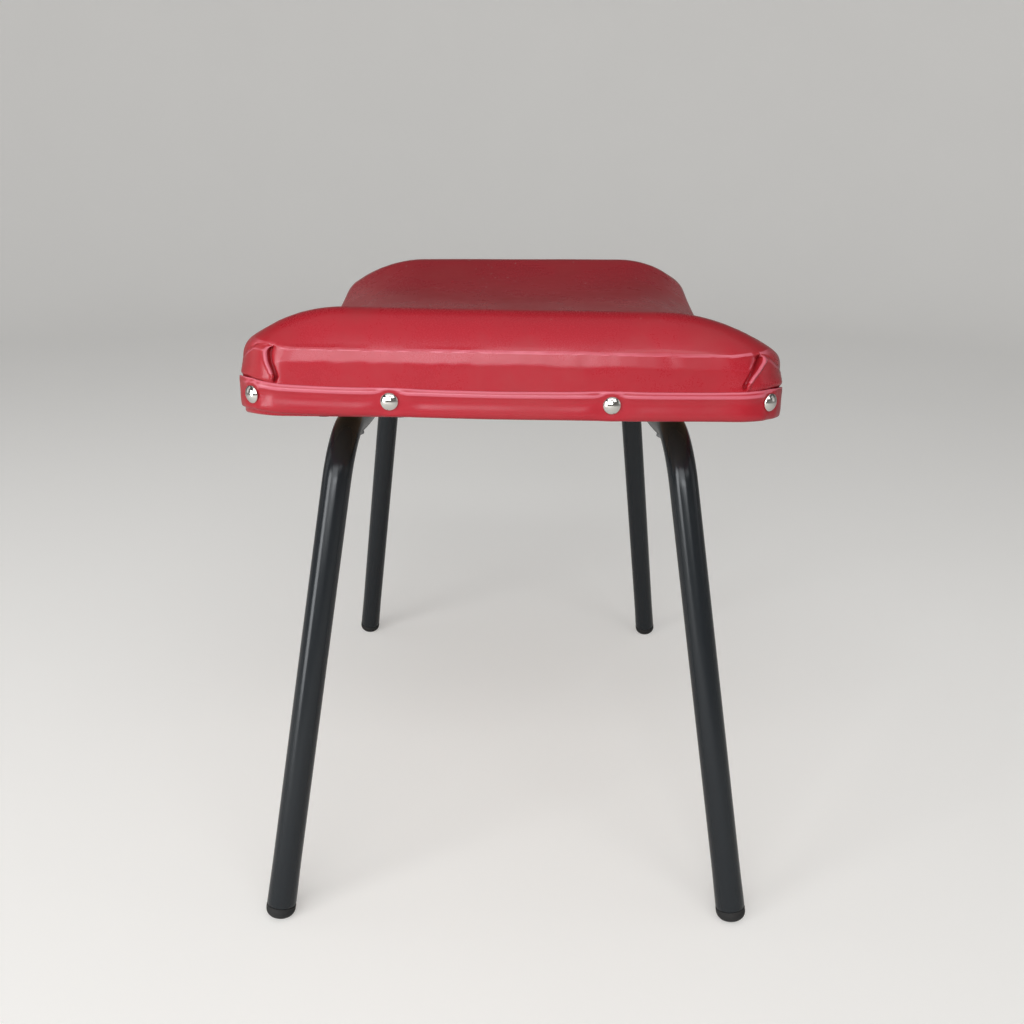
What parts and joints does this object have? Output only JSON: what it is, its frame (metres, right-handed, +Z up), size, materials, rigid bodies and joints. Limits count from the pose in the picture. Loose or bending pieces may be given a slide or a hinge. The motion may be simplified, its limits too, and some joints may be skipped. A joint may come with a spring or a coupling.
{
  "type": "footstool",
  "caption": "Footstool with a saddle-shaped upholstered seat, a nailed edge band and splayed legs of bent steel tube.",
  "frame": {"origin": "on the floor under the middle of the seat", "axes": "+X across the seat, to the right seen from the near end; +Y along the seat towards the far end; +Z up"},
  "size_m": [0.3448, 0.4832, 0.4283],
  "materials": {
    "plywood": "satin",
    "foam": "matte",
    "red_vinyl": "satin",
    "nickel": "polished",
    "zinc": "satin",
    "blued_steel": "satin",
    "black_paint": "gloss",
    "black_plastic": "matte"
  },
  "bodies": {
    "root": {"seat_board": "plywood", "foam_pad": "foam", "vinyl_cover": "red_vinyl", "edge_band": "red_vinyl", "band_nails": "nickel", "hem_tacks": "blued_steel", "tube_frame_left": "black_paint", "tube_frame_right": "black_paint", "frame_screws": "zinc", "foot_plug_near_left": "black_plastic", "foot_plug_near_right": "black_plastic", "foot_plug_far_left": "black_plastic", "foot_plug_far_right": "black_plastic"}
  },
  "joints": []
}
